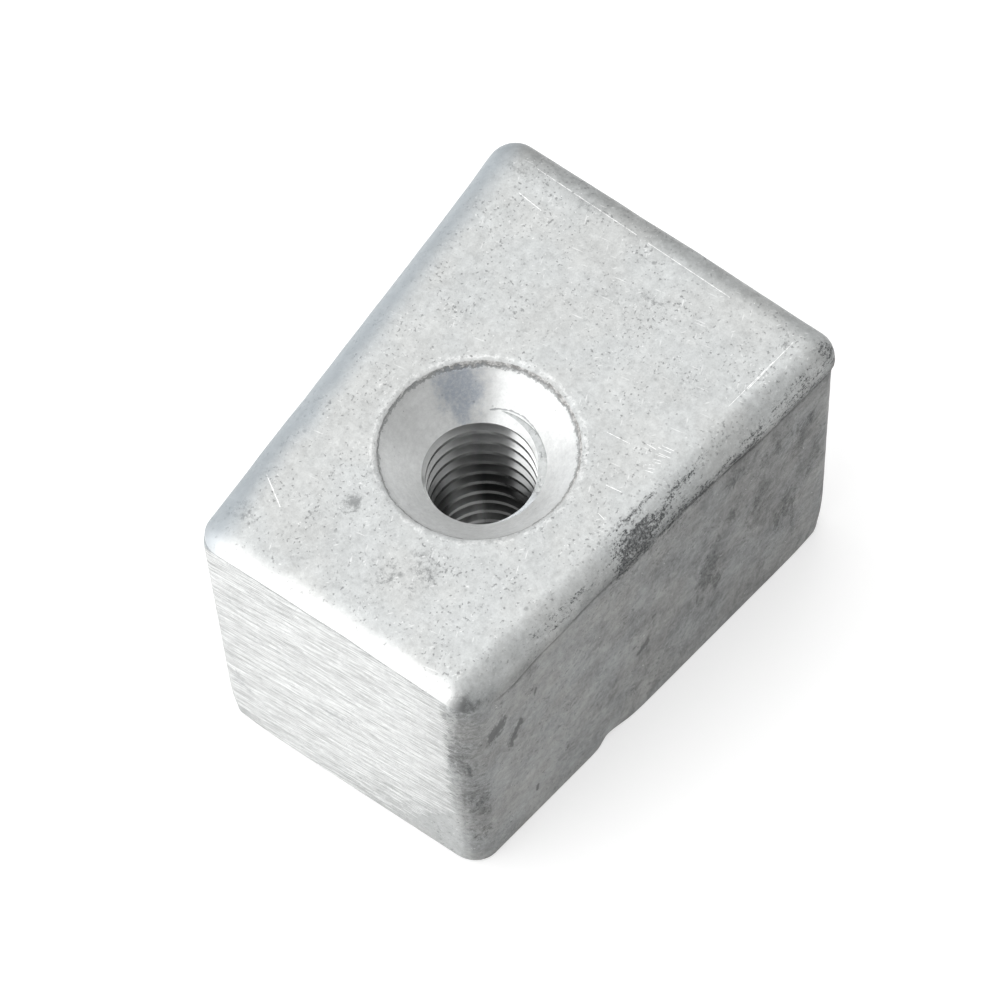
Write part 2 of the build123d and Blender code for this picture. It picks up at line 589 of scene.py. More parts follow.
class Graph:
    """Short calls for building a node tree."""

    def __init__(self, tree):
        self.tree = tree

    def node(self, kind, inputs=None, **settings):
        """A node with its settings, and its inputs set or linked by name or number."""
        made = self.tree.nodes.new(kind)
        for key, value in settings.items():
            setattr(made, key, value)
        for key, value in (inputs or {}).items():
            self.feed(made.inputs[key], value)
        return made

    def feed(self, socket, value):
        """Links an output, or sets a plain value."""
        if isinstance(value, bpy.types.NodeSocket):
            self.tree.links.new(value, socket)
        else:
            socket.default_value = value

    def math(self, operation, first, second=0.0, third=0.0, clamp=False):
        """One step of arithmetic."""
        inputs = {0: first, 1: second}
        if operation == "MULTIPLY_ADD":
            inputs[2] = third
        return self.node("ShaderNodeMath", inputs, operation=operation, use_clamp=clamp).outputs[0]

    def product(self, *factors):
        """All the factors multiplied."""
        return functools.reduce(lambda first, second: self.math("MULTIPLY", first, second), factors)

    def most(self, *values):
        """The largest of the values."""
        return functools.reduce(lambda first, second: self.math("MAXIMUM", first, second), values)

    def line(self, value, slope, start, clamp=False):
        """The value times a slope, and a start added."""
        return self.math("MULTIPLY_ADD", value, slope, start, clamp=clamp)

    def ragged(self, value, cloud, amount):
        """A value moved up and down by a noise about a half, so that what is drawn from it frays."""
        return self.math("ADD", value, self.line(cloud, amount, -amount / 2))

    def varied(self, value, cloud, amount):
        """A value moved up and down by a noise about a half, by an amount that may itself change."""
        return self.line(self.math("SUBTRACT", cloud, 0.5), amount, value)

    def vector(self, operation, first, second=(0, 0, 0)):
        """One step of vector arithmetic that gives a vector."""
        return self.node("ShaderNodeVectorMath", {0: first, 1: second}, operation=operation).outputs[0]

    def measure(self, operation, first, second=(0, 0, 0)):
        """One step of vector arithmetic that gives a number."""
        made = self.node("ShaderNodeVectorMath", {0: first, 1: second}, operation=operation)
        return made.outputs["Value"]

    def stretched(self, place, turn, grain):
        """The place in a grain's own turned frame, where each grain is one unit long and wide."""
        inputs = {"Vector": place, "Rotation": [math.radians(t) for t in turn], "Scale": grain}
        return self.node("ShaderNodeMapping", inputs, vector_type="TEXTURE").outputs[0]

    def noise(self, place, scale, detail=2.0, roughness=0.5, distortion=0.0):
        """Cloudy noise about a half, with so many clouds to each millimetre."""
        inputs = {"Vector": place, "Scale": scale, "Detail": detail, "Roughness": roughness}
        return self.node("ShaderNodeTexNoise", {**inputs, "Distortion": distortion}).outputs[0]

    def specks(self, place, cell, share, radius):
        """Round specks of differing size, in a share of the cells of one width."""
        cells = self.node("ShaderNodeTexVoronoi", {"Vector": place, "Scale": 1 / cell}).outputs
        dice = self.node("ShaderNodeSeparateColor", {0: cells["Color"]}).outputs
        reach_out = self.math("MULTIPLY_ADD", dice[1], radius / cell, 0.4 * radius / cell)
        inside = self.math("SUBTRACT", 1.0, self.math("DIVIDE", cells["Distance"], reach_out), clamp=True)
        chosen = self.math("LESS_THAN", dice[0], share)
        return self.product(self.math("SQRT", inside), chosen)

    def ramp(self, value, low, high, to_low=0.0, to_high=1.0):
        """A smooth step from low to high, which may run downwards."""
        inputs = {"Value": value, "From Min": low, "From Max": high, "To Min": to_low, "To Max": to_high}
        return self.node("ShaderNodeMapRange", inputs, interpolation_type="SMOOTHSTEP").outputs[0]

    def blend(self, factor, first, second):
        """One number blended into another."""
        inputs = {"Factor": factor, "A": first, "B": second}
        return self.node("ShaderNodeMix", inputs, data_type="FLOAT").outputs[0]

    def tint(self, factor, first, second):
        """One colour blended into another."""
        made = self.node("ShaderNodeMix", {0: factor}, data_type="RGBA")
        for index, value in ((6, first), (7, second)):
            linked = isinstance(value, bpy.types.NodeSocket)
            self.feed(made.inputs[index], value if linked else (*value, 1.0))
        return made.outputs[2]

    def scaled(self, colour_now, factor):
        """A colour made lighter or darker by a factor."""
        made = self.node("ShaderNodeVectorMath", {0: colour_now, "Scale": factor}, operation="SCALE")
        return made.outputs[0]

    def attribute(self, name):
        """A number that the mesh carries at each point."""
        return self.node("ShaderNodeAttribute", attribute_name=name).outputs["Fac"]


# The thread's groove: its depth and its flat root as shares of the pitch, and the lean of its flanks.
GROOVE_REACH, ROOT_FLAT, FLANK_ANGLE = 0.72, 0.125, math.radians(30)
SPARE_TURNS, TURN_STEPS = 3.0, 120
SHARP_ANGLE = math.radians(32)
JUST_INSIDE = 0.998


def tapped_hole_tree():
    """Geometry nodes that cut a helical groove into the bore they are given."""
    tree = bpy.data.node_groups.new("tapped_hole", "GeometryNodeTree")
    face = tree.interface
    face.new_socket("Casting", in_out="INPUT", socket_type="NodeSocketGeometry")
    for name in ("Pitch", "Crest radius", "Root radius", "Bore length", "First turn", "Start angle"):
        face.new_socket(name, in_out="INPUT", socket_type="NodeSocketFloat")
    face.new_socket("Thread metal", in_out="INPUT", socket_type="NodeSocketMaterial")
    face.new_socket("Casting", in_out="OUTPUT", socket_type="NodeSocketGeometry")
    make = Graph(tree)
    given = make.node("NodeGroupInput").outputs
    pitch, root = given["Pitch"], given["Root radius"]

    reach_in = make.product(pitch, GROOVE_REACH)
    whole = make.math("ADD", given["Bore length"], make.product(pitch, SPARE_TURNS))
    turns = make.math("DIVIDE", whole, pitch)
    rise = make.product(turns, pitch)
    middle = make.math("SUBTRACT", root, make.product(reach_in, 0.5))
    radii = {"Start Radius": middle, "End Radius": middle}
    sweep = {"Resolution": TURN_STEPS, "Rotations": turns, "Height": rise, "Reverse": True}
    spiral = make.node("GeometryNodeCurveSpiral", {**sweep, **radii})
    lift = make.node("ShaderNodeCombineXYZ", {"Z": make.math("SUBTRACT", given["First turn"], rise)})
    first_angle = make.math("SUBTRACT", given["Start angle"], make.product(turns, math.tau))
    spin = make.node("ShaderNodeCombineXYZ", {"Z": first_angle})
    placed = make.node(
        "GeometryNodeTransform",
        {"Geometry": spiral.outputs[0], "Translation": lift.outputs[0], "Rotation": spin.outputs[0]},
    )
    upright = make.node("GeometryNodeSetCurveNormal", {"Curve": placed.outputs[0]}, mode="Z_UP")
    root_flat = make.product(pitch, ROOT_FLAT)
    mouth = make.line(reach_in, 2 * math.tan(FLANK_ANGLE), root_flat)
    widths = {"Height": reach_in, "Bottom Width": root_flat, "Top Width": mouth, "Offset": 0.0}
    groove = make.node("GeometryNodeCurvePrimitiveQuadrilateral", widths, mode="TRAPEZOID")
    on_side = {"Geometry": groove.outputs[0], "Rotation": (0.0, 0.0, math.pi / 2)}
    turned = make.node("GeometryNodeTransform", on_side)
    cutter = make.node(
        "GeometryNodeCurveToMesh",
        {"Curve": upright.outputs[0], "Profile Curve": turned.outputs[0], "Fill Caps": True},
    )
    both = {"Mesh 1": given["Casting"], "Mesh 2": cutter.outputs[0]}
    cut = make.node("GeometryNodeMeshBoolean", both, operation="DIFFERENCE", solver="EXACT")
    smooth = make.node("GeometryNodeSetShadeSmooth", {"Geometry": cut.outputs[0], "Shade Smooth": True})
    steep = make.node("GeometryNodeInputMeshEdgeAngle").outputs["Unsigned Angle"]
    sharp = make.node("FunctionNodeCompare", {0: steep, 1: SHARP_ANGLE}, operation="GREATER_THAN")
    creased = make.node(
        "GeometryNodeSetShadeSmooth",
        {"Geometry": smooth.outputs[0], "Selection": sharp.outputs[0], "Shade Smooth": False},
        domain="EDGE",
    )
    real = make.node("GeometryNodeRealizeInstances", {"Geometry": creased.outputs[0]})
    place = make.node("GeometryNodeInputPosition").outputs[0]
    x, y, z = make.node("ShaderNodeSeparateXYZ", {0: place}).outputs[0:3]
    across = make.math("SQRT", make.math("ADD", make.math("POWER", x, 2.0), make.math("POWER", y, 2.0)))
    inside = make.math("LESS_THAN", across, make.product(root, JUST_INSIDE))
    in_bore = make.product(inside, make.math("LESS_THAN", z, given["Bore length"]))
    named = make.node(
        "GeometryNodeSetMaterial",
        {"Geometry": real.outputs[0], "Selection": in_bore, "Material": given["Thread metal"]},
    )
    make.node("NodeGroupOutput", {0: named.outputs[0]})
    return tree


def apply_tree(piece, tree, values):
    """Runs a node tree on a piece and keeps the result as the piece's plain mesh."""
    modifier = piece.modifiers.new(tree.name, "NODES")
    modifier.node_group = tree
    for item in tree.interface.items_tree:
        if item.name in values and item.in_out == "INPUT":
            modifier[item.identifier] = values[item.name]
    depsgraph = bpy.context.evaluated_depsgraph_get()
    result = bpy.data.meshes.new_from_object(piece.evaluated_get(depsgraph), depsgraph=depsgraph)
    piece.modifiers.remove(modifier)
    piece.data = result


def stroke_group():
    """A node group that gives a ragged mark along the line between two places."""
    tree = bpy.data.node_groups.new("stroke", "ShaderNodeTree")
    for name in ("Place", "Start", "End"):
        tree.interface.new_socket(name, in_out="INPUT", socket_type="NodeSocketVector")
    tree.interface.new_socket("Width", in_out="INPUT", socket_type="NodeSocketFloat")
    tree.interface.new_socket("Mark", in_out="OUTPUT", socket_type="NodeSocketFloat")
    make = Graph(tree)
    given = make.node("NodeGroupInput").outputs
    line = make.vector("SUBTRACT", given["End"], given["Start"])
    offset = make.vector("SUBTRACT", given["Place"], given["Start"])
    along, whole = make.measure("DOT_PRODUCT", offset, line), make.measure("DOT_PRODUCT", line, line)
    foot = make.scaled(line, make.math("DIVIDE", along, whole, clamp=True))
    gap = make.measure("DISTANCE", offset, foot)
    width = make.product(given["Width"], make.line(make.noise(given["Place"], 3.2, 3, 0.7), 2.2, -0.6))
    make.node("NodeGroupOutput", {"Mark": make.ramp(make.math("DIVIDE", gap, width), 1.0, 0.35)})
    return tree


# Noises of the finishes, as clouds to each millimetre, octaves, and where given roughness and distortion.
NOISES = {
    "cloud": (0.35, 3),
    "grain": (1.5, 5, 0.85),
    "grit": (7.5, 2, 0.6),
    "mottle": (2.8, 4, 0.75, 0.6),
    "cluster": (0.5, 3, 0.6),
    "warmth": (0.22, 3),
    "wall warmth": (0.28, 3, 0.6),
    "pits": (4.4, 3, 0.6),
    "rim wander": (2.2, 4, 0.7),
    "rim gaps": (3.0, 4, 0.7),
    "stain": (2.1, 6, 0.85, 0.3),
    "smear grit": (5.5, 4, 0.8),
    "crease wander": (1.6, 4, 0.7),
    "crease gaps": (0.8, 4, 0.7),
    "gouge gaps": (0.3, 2),
    "hollows": (0.8, 3),
    "cone cloud": (0.5, 3, 0.55),
    "cone grit": (5.0, 3, 0.6),
    "cone mottle": (2.2, 4, 0.8),
    "heat edge": (0.9, 5, 0.75),
    "heat gaps": (5.0, 4, 0.8),
    "band wander": (2.4, 5, 0.75),
    "band tone": (3.6, 4, 0.7),
    "band burr": (4.6, 3, 0.6),
    "thread grit": (4.0, 4, 0.65),
}
# Noises drawn out into grains, as turn in degrees, grain in millimetres, clouds to each grain, octaves,
# roughness and distortion.
GRAINS = {
    "smear": ((0, 0, -5), (1.6, 0.26, 0.26), 1.0, 5, 0.8),
    "drips": ((0, 0, -5), (0.8, 0.8, 1.5), 1.0, 7, 0.85, 0.5),
    "tarnish": ((0, 18, 0), (1.0, 1.0, 1.9), 0.62, 7, 0.78, 0.4),
    "corner": ((0, 0, 0), (0.5, 0.5, 0.9), 1.0, 6, 0.85),
    "comb": ((-7, 0, 0), (1, 1.4, 0.17), 1.0, 3, 0.6),
    "long grain": ((-6.5, 0, 0), (1, 3.2, 0.11), 1.0, 3, 0.62),
    "fine grain": ((-8.5, 0, 0), (1, 1.7, 0.068), 1.0, 2, 0.6),
    "gouges": ((-7, 0, 0), (1, 1.1, 0.10), 1.0, 2, 0.6),
    "drag": ((0, 0, 0), (1.2, 1.2, 0.08), 1.0, 2, 0.5),
}
# Fields of faint scratches, as turn in degrees, grain in millimetres and the share of cells with one.
FAINT_SCRATCHES = (
    ((0, 8, 24), (1.5, 0.10, 0.10), 0.016),
    ((0, -12, -38), (0.9, 0.09, 0.09), 0.018),
    ((5, 3, 100), (1.1, 0.09, 0.09), 0.016),
)
# Where the marks of the skin lie, as what is measured, the two limits in millimetres between which a
# mark sets in, and where given its share at each limit.
# The third of these is painted shade: how bright the walls are made beside the top, from the narrow end to
# the wide end.
NEAR_FRONT_X, WALL_PARTING, WALL_PAINTED_SHADE_X = (-4.0, -13.0), (1.1, -0.1), (-12.0, 12.0, 0.525, 0.385)
FRONT_WALL_Y, WIDE_WALL_X, BACK_WALL_Y = (-8.5, -9.4), (17.9, 18.7), (9.2, 10.0, 0.0, 0.6)
WIDE_RIM_SHADE = (("parting", -0.2, 0.4),)
CREASE = (("front", 2.0, 3.4), ("x", 2.0, 7.0, 0.42, 1.0))
DARK_STROKE = (("y", -8.6, -9.2),)
BURNISH_AND_HIGHLIGHT = (("parting", 0.06, 0.12), ("y", -9.3, -8.0))
BLUE = (("parting", -0.6, 0.3),)
FRONT_CORNER_SHADE = (("parting", 0.9, -0.3), ("z", 2.0, 8.0, 0.5, 1.0))
SANDED = (("parting", -0.13, -0.19),)
SHELF = (("parting", -0.5, -0.8),)
UNGROUND = (
    ("parting", -0.1, -0.5), ("end", -2.2, -0.5), ("z", 5.0, 10.0, 0.1, 1.0),
    ("mottle", 0.36, 0.62, 0.38, 0.05),
)

FRONT_CORNER = (-14.2, -10.2, 0.0)
FRONT_CORNER_Y = 9.85
RIM_BURR_RADIUS = 6.28
RIM_DIRT_SIDE = (0.9, -0.43, 0.0)
HEAT_TINT_PLACE = (3.0, 3.9, 0.0)
THREAD_DULL_SIDE = (-0.67, 0.74, 0.0)
LEVELLED = (1.0, 1.0, 0.0)

BRIGHT = (0.97, 0.97, 0.965)
POLISHED_AND_HIGHLIGHT = (0.97, 0.97, 0.96)
BLUE_SHADE = (0.33, 0.372, 0.408)
HEAT_TINT = (0.33, 0.385, 0.47)
BAND_DIRT, BAND_METAL, BAND_CLEAN = (0.30, 0.295, 0.285), (0.66, 0.655, 0.645), (0.80, 0.805, 0.80)
BAND_BURR = (0.95, 0.95, 0.94)
# Near-black colour of the painted shade deep in the bore.
DEEP_SHADE_COLOUR = (0.03, 0.03, 0.03)


def toned(metal, red, blue):
    """A colour made warmer or cooler by factors on its red and blue."""
    return metal[0] * red, metal[1], metal[2] * blue


class Finish(Graph):
    """A material in the making: its graph, its shader's inputs and the place on the piece."""

    def __init__(self, name, tint):
        self.material = bpy.data.materials.new(name)
        self.material.use_nodes = True
        super().__init__(self.material.node_tree)
        self.shader = self.tree.nodes["Principled BSDF"].inputs
        self.tints = tint
        place = self.node("ShaderNodeTexCoord").outputs["Object"]
        self.place = self.vector("MULTIPLY", place, (1 / MM, 1 / MM, 1 / MM))

    def axes(self):
        """The place's three coordinates, in millimetres."""
        return self.node("ShaderNodeSeparateXYZ", {0: self.place}).outputs[0:3]

    def texture(self, name):
        """One of the named noises."""
        return self.noise(self.place, *NOISES[name])

    def drawn_out(self, name):
        """One of the named noises that are drawn out into grains."""
        turn, grain, *settings = GRAINS[name]
        return self.noise(self.stretched(self.place, turn, grain), *settings)

    def strokes(self, place, lines):
        """All the marks of one kind, each a start, an end and a half width in millimetres."""
        group = bpy.data.node_groups.get("stroke") or stroke_group()
        marks = []
        for start, end, width in lines:
            inputs = {"Place": place, "Start": start, "End": end, "Width": width}
            marks.append(self.node("ShaderNodeGroup", node_tree=group))
            for key, value in inputs.items():
                self.feed(marks[-1].inputs[key], value)
        return self.most(*(mark.outputs[0] for mark in marks))

    def finished(self, colour_now, rough, relief, strength):
        """Feeds the shader its colour, its roughness and a relief in millimetres, and gives the material."""
        bump = self.node("ShaderNodeBump", {"Height": relief, "Distance": MM, "Strength": strength})
        self.feed(self.shader["Base Color"], colour_now)
        self.feed(self.shader["Roughness"], rough)
        self.feed(self.shader["Normal"], bump.outputs[0])
        return self.material


class CastSkin(Finish):
    """The dull, pitted and stained skin of the casting, and the end that was ground bright."""

    def __init__(self, size, tint):
        super().__init__("cast_skin", tint)
        self.size = size
        self.x, self.y, self.z = self.axes()
        self.parting = self.attribute("parting")
        self.cloud = self.texture("cloud")
        self.grain = self.texture("grain")
        self.mottle = self.texture("mottle")
        self.cluster = self.texture("cluster")
        self.comb = self.drawn_out("comb")
        out, foot = end_plane(size)
        self.end = self.math("SUBTRACT", self.measure("DOT_PRODUCT", self.place, out), foot / MM)
        from_corner = self.vector("SUBTRACT", self.place, FRONT_CORNER)
        self.front = self.measure("LENGTH", self.vector("MULTIPLY", from_corner, LEVELLED))
        self.from_side = self.math("ADD", self.y, self.line(self.comb, 2.4, FRONT_CORNER_Y - 1.2))
        self.wall = self.wall_share()
        self.pitted = self.pits()

    def within(self, mark, limits):
        """A mark kept to where each of its limits allows it."""
        return self.product(mark, *(self.ramp(getattr(self, name), *rest) for name, *rest in limits))

    def wall_share(self):
        """Where the skin belongs to a cast wall, from a little above the parting line down."""
        near_front = self.ramp(self.x, *NEAR_FRONT_X)
        below = self.ramp(self.line(near_front, -0.7, self.parting), *WALL_PARTING)
        front_wall, wide_wall = self.ramp(self.y, *FRONT_WALL_Y), self.ramp(self.x, *WIDE_WALL_X)
        return self.product(self.most(front_wall, wide_wall, self.ramp(self.y, *BACK_WALL_Y)), below)

    def tone(self):
        """The skin's colour, clouded and mottled, with painted shade: darker on the walls than on the top,
        and darker along the wide end's top edge.
        """
        # Painted shade: the walls are made darker than the top, and darker still towards the wide end.
        shade = self.blend(self.wall, 1.0, self.ramp(self.x, *WALL_PAINTED_SHADE_X))
        contrasts = (self.grain, 0.86, 0.80), (self.cloud, 0.26, 0.50), (self.mottle, 0.48, 0.34)
        for noise_now, on_top, on_walls in contrasts:
            shade = self.varied(shade, noise_now, self.blend(self.wall, on_top, on_walls))
        # Painted shade along the rounded top edge over the wide end.
        wide_rim_shade = self.ramp(self.line(self.mottle, 0.8, self.x), 16.6, 19.2)
        shade = self.line(self.within(wide_rim_shade, WIDE_RIM_SHADE), -0.30, shade)
        cool, warm = toned(self.tints.skin, 0.996, 1.004), toned(self.tints.skin, 1.006, 0.995)
        warmth = self.ramp(self.texture("warmth"), 0.38, 0.62)
        colour_now = self.scaled(self.tint(warmth, cool, warm), shade)
        wall_warmth = self.ramp(self.texture("wall warmth"), 0.42, 0.58)
        wall_tint = self.tint(wall_warmth, (0.99, 0.997, 1.0), (1.012, 1.0, 0.984))
        return self.vector("MULTIPLY", colour_now, self.tint(self.wall, (1.0, 1.0, 1.0), wall_tint))

    def pits(self):
        """Pits and specks, with larger pocks where they gather."""
        pits = self.ramp(self.line(self.cluster, 0.30, self.texture("pits")), 0.775, 0.835)
        speckle = self.specks(self.place, 0.34, 0.28, 0.085)
        pocks = self.product(self.specks(self.place, 1.35, 0.22, 0.16), self.ramp(self.cluster, 0.38, 0.6))
        wall_pocks = self.specks(self.stretched(self.place, (0, 22, 0), (0.7, 1, 1.3)), 1.5, 0.5, 0.22)
        wall_pocks = self.product(wall_pocks, self.ramp(self.mottle, 0.42, 0.6), self.wall, 0.6)
        pits = self.product(pits, self.blend(self.wall, 0.5, 0.45))
        return self.most(pits, self.product(speckle, 0.26), self.product(pocks, 0.6), wall_pocks)

    def light_marks(self):
        """Chips, scratches and the burr round the countersink's rim, which show bright metal."""
        elsewhere = self.vector("ADD", self.place, (7.3, 1.9, 4.1))
        chips = self.ramp(self.line(self.cluster, 0.25, self.noise(elsewhere, 4.8, 3, 0.6)), 0.78, 0.85)
        scores = [
            self.specks(self.stretched(self.place, turn, grain), 1.0, share, 0.42)
            for turn, grain, share in FAINT_SCRATCHES
        ]
        light = self.most(self.product(chips, 0.45), self.product(self.most(*scores), 0.5))
        light = self.product(light, self.blend(self.wall, 1.0, 0.25))
        radius = self.measure("LENGTH", self.vector("MULTIPLY", self.place, LEVELLED))
        wander = self.line(self.texture("rim wander"), 0.8, -0.4 - RIM_BURR_RADIUS)
        rim_gap = self.math("ABSOLUTE", self.math("ADD", radius, wander))
        rim_gaps = self.ramp(self.texture("rim gaps"), 0.42, 0.60)
        rim_burr = self.product(self.ramp(rim_gap, 0.16, 0.04), rim_gaps, 0.36)
        return self.most(light, self.strokes(self.place, light_scratches()), rim_burr)

    def stains(self):
        """The soft stains that the mesh carries, with ragged edges."""
        return self.ramp(self.ragged(self.attribute("stain"), self.texture("stain"), 2.4), 0.30, 0.75)

    def smear_and_blotch(self):
        """The gritty smear on the long side's top edge, and the blotches below it."""
        fine = self.texture("smear grit")
        speckled = self.ramp(fine, 0.36, 0.60)
        smear = self.ragged(self.attribute("smear"), self.drawn_out("smear"), 2.3)
        smear = self.ramp(self.line(fine, 2.6, smear), 1.62, 2.05)
        near = self.ramp(self.attribute("smear"), 0.06, 0.22)
        blotch = self.ragged(self.attribute("blotch"), self.drawn_out("drips"), 3.4)
        blotch = self.product(self.ramp(blotch, 0.26, 0.80), self.blend(speckled, 1.0, 0.45))
        return self.product(smear, near, self.blend(speckled, 0.5, 1.0)), blotch

    def crease(self):
        """The dirt and painted shadow in the sunk parting line, which fade towards the front corner."""
        wander = self.line(self.texture("crease wander"), 0.3, -0.07)
        gap = self.math("ABSOLUTE", self.math("ADD", self.parting, wander))
        # Painted shadow under the upper half's lip, together with dirt, darkens the crease.
        dirt_and_shadow = self.ramp(gap, self.blend(self.wall, 0.14, 0.26), 0.08)
        gaps = self.ramp(self.texture("crease gaps"), 0.36, 0.56, 0.4, 1.0)
        return self.within(self.product(dirt_and_shadow, gaps, self.blend(self.wall, 0.75, 1.0)), CREASE)

    def front_corner_shade(self):
        """How much painted shade darkens the front corner's rounding."""
        ragged = self.ramp(self.ragged(self.front, self.drawn_out("corner"), 5.0), 2.4, 1.2)
        dull = self.most(self.product(ragged, 0.5), self.ramp(self.front, 3.6, 1.9, 0.0, 0.42))
        return self.within(dull, FRONT_CORNER_SHADE)

    def sanding(self):
        """Where the narrow end was ground: short of its corner, and of the low part that was missed."""
        sanded = self.within(self.ramp(self.ragged(self.end, self.comb, 0.34), -0.10, -0.04), SANDED)
        missed = self.ramp(self.z, 7.5, 1.0, 0.0, 3.4)
        return self.product(sanded, self.ramp(self.math("SUBTRACT", self.from_side, missed), 1.55, 2.0))

    def ground_metal(self, lines, gouges, stains):
        """The ground end's fresh metal, streaked by the grinding, with light streaks that are partly painted
        glints.
        """
        ground, stain = Vector(self.tints.ground), Vector(self.tints.stain)
        # The light streaks partly paint the glints of the grinding grooves.
        streaked = self.tint(lines, ground * 0.66, ground * 1.21)
        streaked = self.scaled(streaked, self.line(self.grain, 0.6, 0.7))
        streaked = self.tint(self.most(gouges, self.product(self.pitted, 0.5)), streaked, stain * 2.2)
        streaked = self.tint(self.product(stains, 0.45), streaked, stain * 2.5)
        streaked = self.scaled(streaked, self.varied(1.0, self.mottle, 0.35))
        near_corner = self.ramp(self.from_side, 1.8, 5.0, 0.84, 1.0)
        return self.scaled(streaked, self.product(near_corner, self.ramp(self.y, 9.0, 2.0, 0.95, 1.0)))

    def made(self):
        """The whole finish, laid on in order: skin, bright marks, dark marks, edges and ground end."""
        light, stains, (smear, blotch) = self.light_marks(), self.stains(), self.smear_and_blotch()
        tarnish = self.ramp(self.drawn_out("tarnish"), 0.50, 0.66)
        tarnish = self.product(tarnish, self.wall, self.ramp(self.x, -12.0, 4.0, 0.12, 0.42))
        laid_flat = self.vector("MULTIPLY", self.place, (1.0, 0.0, 0.5))
        dark_strokes = self.product(self.within(self.strokes(laid_flat, DARK_STROKES), DARK_STROKE), 0.62)
        dark = self.most(
            self.product(stains, 0.55), self.product(smear, 0.92), self.product(blotch, 0.85), tarnish,
            self.product(self.crease(), 0.85), self.pitted, dark_strokes,
        )
        stain = Vector(self.tints.stain)
        colour_now = self.tint(self.product(light, 0.8), self.tone(), BRIGHT)
        colour_now = self.tint(dark, colour_now, self.tint(self.most(self.wall, smear), stain, stain * 0.42))

        # A burnished band along the ground end's top edge; its near-white colour is partly a painted
        # highlight.
        burnish_and_highlight = self.ramp(self.ragged(self.end, self.cloud, 0.5), -1.4, -0.3)
        burnish_and_highlight = self.product(self.within(burnish_and_highlight, BURNISH_AND_HIGHLIGHT), 0.6)
        colour_now = self.tint(burnish_and_highlight, colour_now, POLISHED_AND_HIGHLIGHT)
        past_half_width = self.math("SUBTRACT", self.y, half_width_of(self.size) / MM)
        back_gap = self.line(self.x, -math.tan(taper_of(self.size)), past_half_width)
        blue = self.ramp(self.ragged(back_gap, self.cloud, 1.6), -2.6, -0.7)
        colour_now = self.tint(self.product(self.within(blue, BLUE), 0.7), colour_now, BLUE_SHADE)
        # Painted shade on the front corner's rounding.
        colour_now = self.scaled(colour_now, self.line(self.front_corner_shade(), -0.10, 1.0))
        unground = self.within(self.ramp(self.from_side, 2.1, 1.7), UNGROUND)
        colour_now = self.scaled(colour_now, self.math("SUBTRACT", 1.0, unground))

        sanded = self.sanding()
        shelf = self.within(self.ramp(self.end, -0.34, -0.24), SHELF)
        shelf = self.product(shelf, self.math("SUBTRACT", 1.0, sanded))
        both_grains = self.math("ADD", self.drawn_out("long grain"), self.drawn_out("fine grain"))
        lines = self.line(both_grains, 2.6, -2.1, clamp=True)
        gouges = self.ramp(self.drawn_out("gouges"), 0.60, 0.68)
        gouges = self.product(gouges, self.ramp(self.texture("gouge gaps"), 0.4, 0.65), 0.5)
        colour_now = self.tint(self.product(shelf, 0.6), colour_now, self.scaled(colour_now, 0.66))
        colour_now = self.tint(sanded, colour_now, self.ground_metal(lines, gouges, stains))

        rough = self.line(self.grain, 0.2, 0.40)
        for mark, roughness in ((dark, 0.8), (light, 0.32), (burnish_and_highlight, 0.36)):
            rough = self.blend(mark, rough, roughness)
        rough = self.blend(sanded, rough, self.line(lines, -0.12, 0.46))
        self.feed(self.shader["Metallic"], self.line(self.most(sanded, burnish_and_highlight), 0.75, 0.15))
        lumps = self.line(self.texture("hollows"), 0.028, self.product(self.grain, 0.020))
        lumps = self.line(self.pitted, -0.045, self.line(self.texture("grit"), 0.006, lumps))
        scored = self.line(lines, 0.010, self.product(gouges, -0.015))
        return self.finished(colour_now, rough, self.blend(sanded, lumps, scored), 0.7)


# Burr where the first turn of the thread breaks out into the cone, as turn in degrees and radius in
# millimetres, and its half width at the first place and how much it loses at each of the next.
RUNOUT = (
    (30, 3.95), (22, 4.05), (12, 4.12), (0, 4.14), (-12, 4.08),
    (-25, 3.98), (-38, 3.88), (-52, 3.76), (-66, 3.64), (-82, 3.52),
)
RUNOUT_WIDTH, RUNOUT_LOSS = 0.14, 0.008


def runout_burr(hole):
    """The burr's marks, each from one place on the cone to the next."""
    places = []
    for turn, radius in RUNOUT:
        bearing = math.radians(turn)
        level = HIGH[2] / MM - (hole.sink_radius / MM - radius)
        places.append((radius * math.cos(bearing), radius * math.sin(bearing), level))
    pairs = enumerate(zip(places, places[1:]))
    return [(start, end, RUNOUT_WIDTH - RUNOUT_LOSS * index) for index, (start, end) in pairs]


